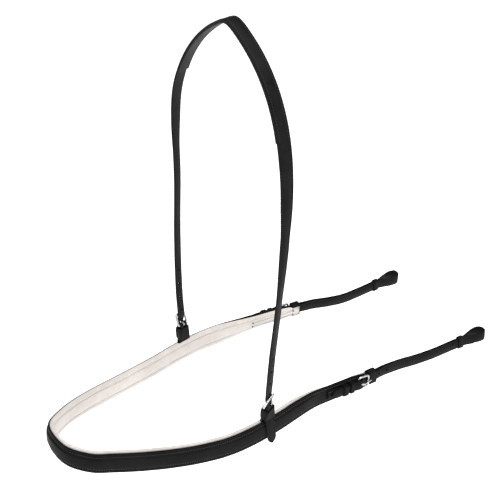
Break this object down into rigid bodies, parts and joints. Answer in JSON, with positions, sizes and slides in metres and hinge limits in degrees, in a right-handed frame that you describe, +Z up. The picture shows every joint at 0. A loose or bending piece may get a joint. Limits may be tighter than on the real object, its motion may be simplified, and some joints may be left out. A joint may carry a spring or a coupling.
{
  "type": "horse breast collar",
  "caption": "Padded leather breast collar for riding: a lined chest strap carried by a neck strap with buckled hangers, and buckled girth straps ending in loops.",
  "frame": {"origin": "where the underside of the neck strap's crown rests on top of the neck, in the middle of its width", "axes": "+Z up, the horse faces -Y, and its left side is +X"},
  "size_m": [0.2785, 0.6973, 0.6008],
  "materials": {
    "strap_leather": "smooth black bridle leather, satin",
    "lining_leather": "soft ivory padded lining, matte",
    "felt_filler": "wool felt",
    "buckle_steel": "polished stainless steel"
  },
  "bodies": {
    "collar": {"breast_strap": "strap_leather", "breast_strap_filler": "felt_filler", "breast_lining": "lining_leather", "neck_strap": "strap_leather", "neck_strap_lining": "strap_leather", "left_hanger_chape": "strap_leather", "left_hanger_keeper": "strap_leather", "left_hanger_buckle_frame": "buckle_steel", "left_girth_strap": "strap_leather", "left_girth_buckle_chape": "strap_leather", "left_girth_buckle_frame": "buckle_steel", "left_fixed_keeper": "strap_leather", "left_end_keeper": "strap_leather", "right_hanger_chape": "strap_leather", "right_hanger_keeper": "strap_leather", "right_hanger_buckle_frame": "buckle_steel", "right_girth_strap": "strap_leather", "right_girth_buckle_chape": "strap_leather", "right_girth_buckle_frame": "buckle_steel", "right_fixed_keeper": "strap_leather", "right_end_keeper": "strap_leather"},
    "left_hanger_buckle_tongue_body": {"left_hanger_buckle_tongue": "buckle_steel"},
    "left_girth_buckle_tongue_body": {"left_girth_buckle_tongue": "buckle_steel"},
    "left_sliding_keeper_body": {"left_sliding_keeper": "strap_leather"},
    "left_loop_keeper_body": {"left_loop_keeper": "strap_leather"},
    "right_hanger_buckle_tongue_body": {"right_hanger_buckle_tongue": "buckle_steel"},
    "right_girth_buckle_tongue_body": {"right_girth_buckle_tongue": "buckle_steel"},
    "right_sliding_keeper_body": {"right_sliding_keeper": "strap_leather"},
    "right_loop_keeper_body": {"right_loop_keeper": "strap_leather"}
  },
  "joints": [
    {"name": "left_hanger_buckle_hinge", "type": "hinge", "parent": "collar", "child": "left_hanger_buckle_tongue_body", "pos_m": [0.11265, -0.01841, -0.52449], "axis": [-0.3959, 0.9045, 0.1582], "range_deg": [0, 12]},
    {"name": "left_girth_buckle_hinge", "type": "hinge", "parent": "collar", "child": "left_girth_buckle_tongue_body", "pos_m": [0.10558, 0.14831, -0.56838], "axis": [0.0545, -0.0609, -0.9967], "range_deg": [0, 12]},
    {"name": "left_sliding_keeper_slide", "type": "slide", "parent": "collar", "child": "left_sliding_keeper_body", "axis": [-0.0333, 0.9975, -0.0628], "range_m": [-0.008, 0.003]},
    {"name": "left_loop_keeper_slide", "type": "slide", "parent": "collar", "child": "left_loop_keeper_body", "axis": [0.03, 0.9994, 0.015], "range_m": [-0.012, 0.002]},
    {"name": "right_hanger_buckle_hinge", "type": "hinge", "parent": "collar", "child": "right_hanger_buckle_tongue_body", "pos_m": [-0.11092, -0.023, -0.52531], "axis": [0.3684, -0.9288, 0.0392], "range_deg": [0, 12]},
    {"name": "right_girth_buckle_hinge", "type": "hinge", "parent": "collar", "child": "right_girth_buckle_tongue_body", "pos_m": [-0.10558, 0.14831, -0.56838], "axis": [0.0545, 0.0609, 0.9967], "range_deg": [0, 12]},
    {"name": "right_sliding_keeper_slide", "type": "slide", "parent": "collar", "child": "right_sliding_keeper_body", "axis": [0.0333, 0.9975, -0.0628], "range_m": [-0.008, 0.003]},
    {"name": "right_loop_keeper_slide", "type": "slide", "parent": "collar", "child": "right_loop_keeper_body", "axis": [-0.03, 0.9994, 0.015], "range_m": [-0.012, 0.002]}
  ]
}
